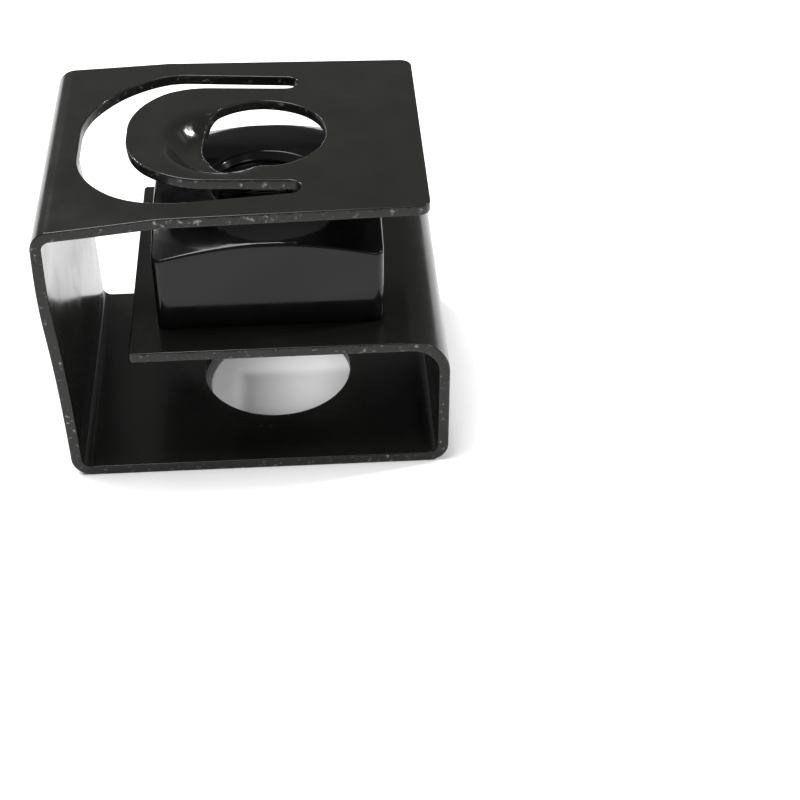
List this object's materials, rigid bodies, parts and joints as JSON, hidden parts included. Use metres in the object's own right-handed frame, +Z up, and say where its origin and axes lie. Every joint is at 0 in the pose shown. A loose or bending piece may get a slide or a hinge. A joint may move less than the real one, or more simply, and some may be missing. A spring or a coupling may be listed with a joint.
{
  "type": "rack cage nut",
  "caption": "Slide-on rack cage nut: a threaded square nut on the shelf of a folded black spring-steel cage with a slotted top leaf.",
  "frame": {"origin": "centre of the footprint, on the underside of the floor", "axes": "+Z up, the way the screw comes in; +X from the closed fold of the top leaf to its free end; +Y along the rack rail"},
  "size_m": [0.0164, 0.0126, 0.0133],
  "materials": {
    "cage_steel": "satin",
    "nut_steel": "gloss"
  },
  "bodies": {
    "root": {"cage": "cage_steel", "square_nut": "nut_steel"}
  },
  "joints": []
}
